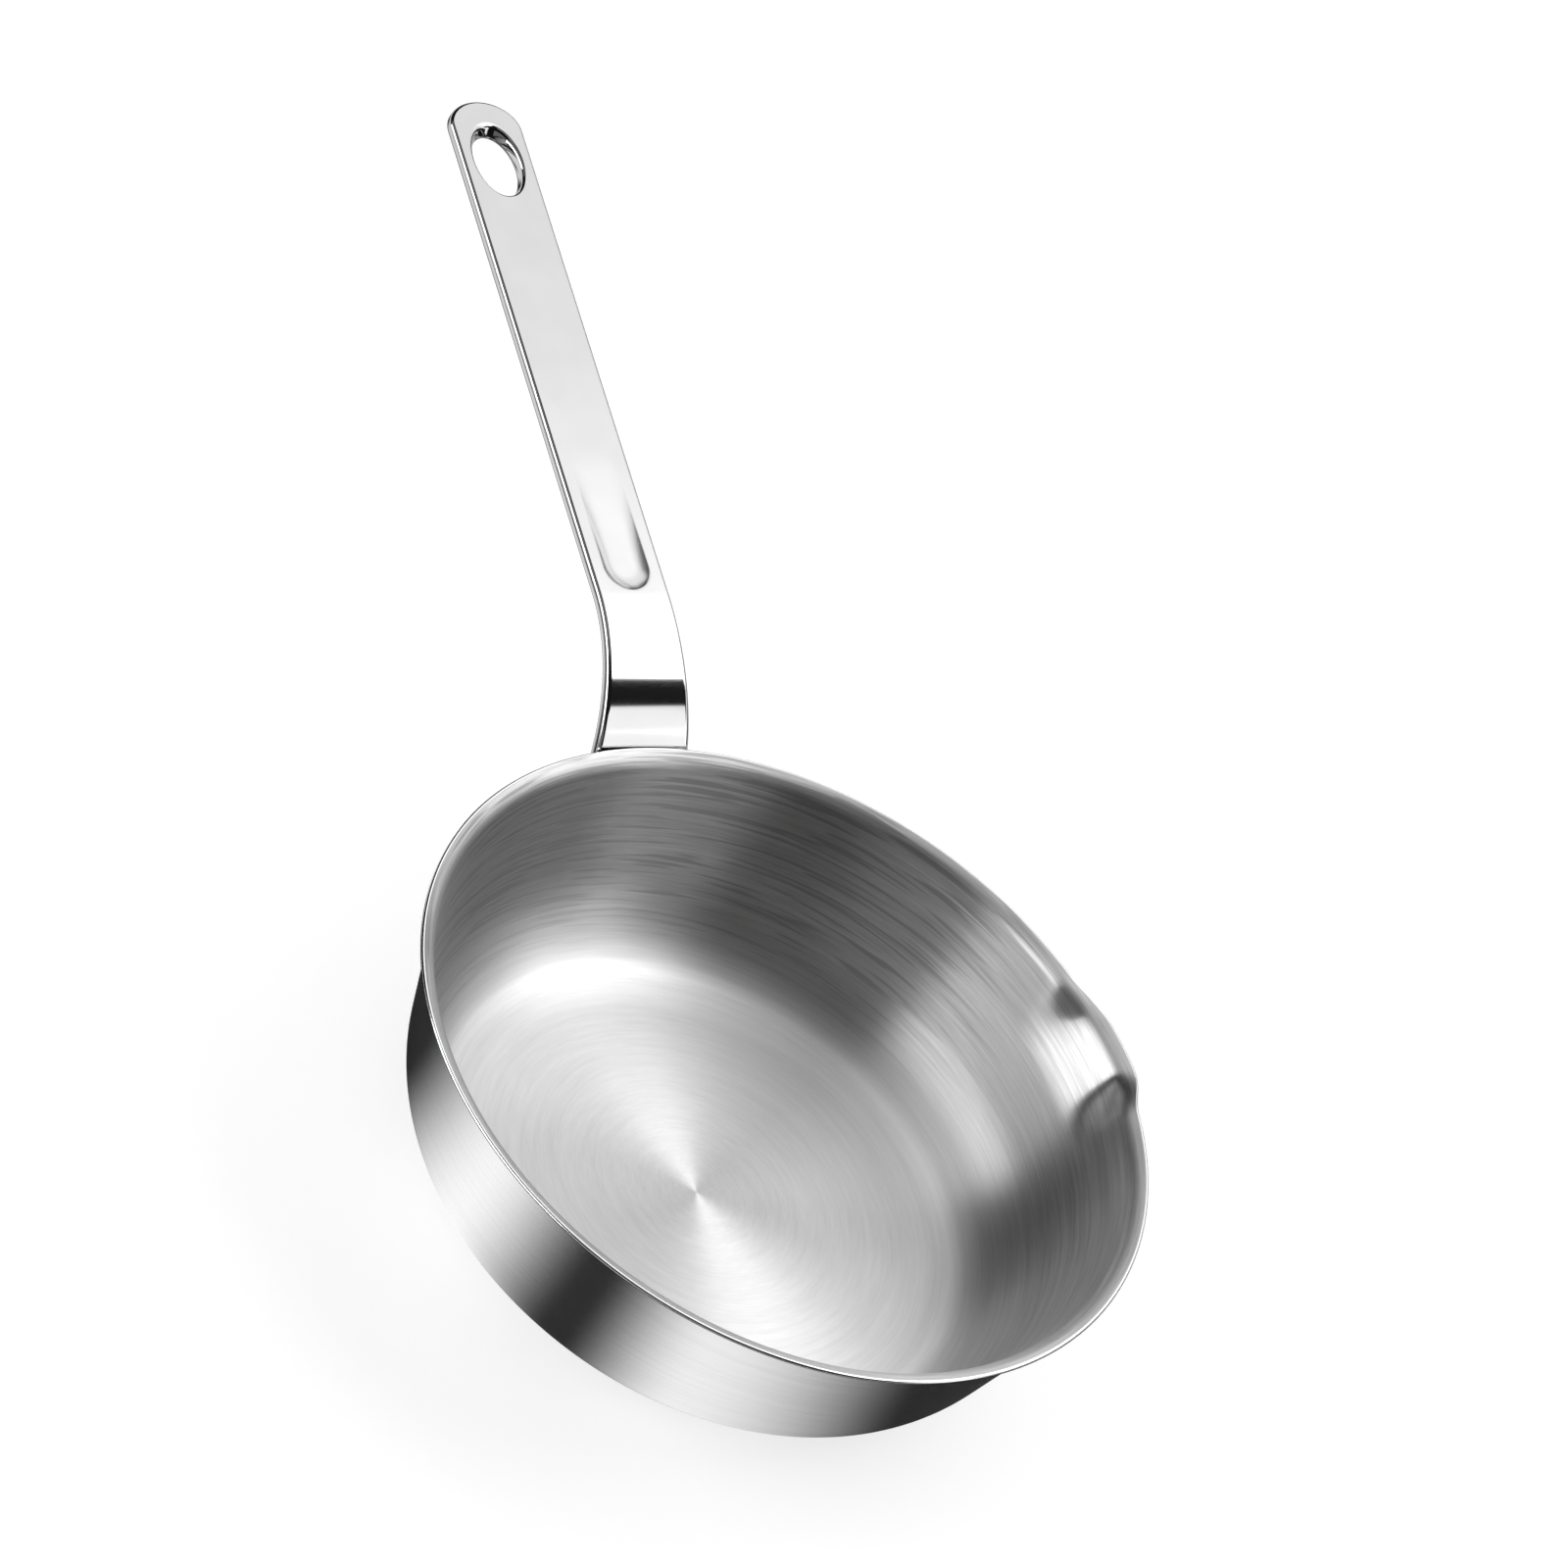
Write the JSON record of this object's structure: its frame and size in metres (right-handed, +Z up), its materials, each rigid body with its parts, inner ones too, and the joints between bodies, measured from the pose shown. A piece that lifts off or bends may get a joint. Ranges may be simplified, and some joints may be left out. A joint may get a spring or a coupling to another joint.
{
  "type": "skillet",
  "caption": "Small stainless steel skillet with a flared lip, a pressed pouring spout, a bonded heat-spreading base and a long bent strip handle with a hanging hole.",
  "frame": {"origin": "middle of the base's underside, the face that stands on the hob", "axes": "+X along the handle towards its tip, +Z up out of the pan, -Y towards the pouring spout"},
  "size_m": [0.3069, 0.1644, 0.0905],
  "materials": {
    "pan_steel": "brushed in circles inside, polished outside",
    "handle_steel": "polished",
    "disc_aluminium": "satin, hidden in the base",
    "cap_steel": "turned in circles"
  },
  "bodies": {
    "root": {"pan_body": "pan_steel", "handle": "handle_steel", "spreader_disc": "disc_aluminium", "base_cap": "cap_steel"}
  },
  "joints": []
}
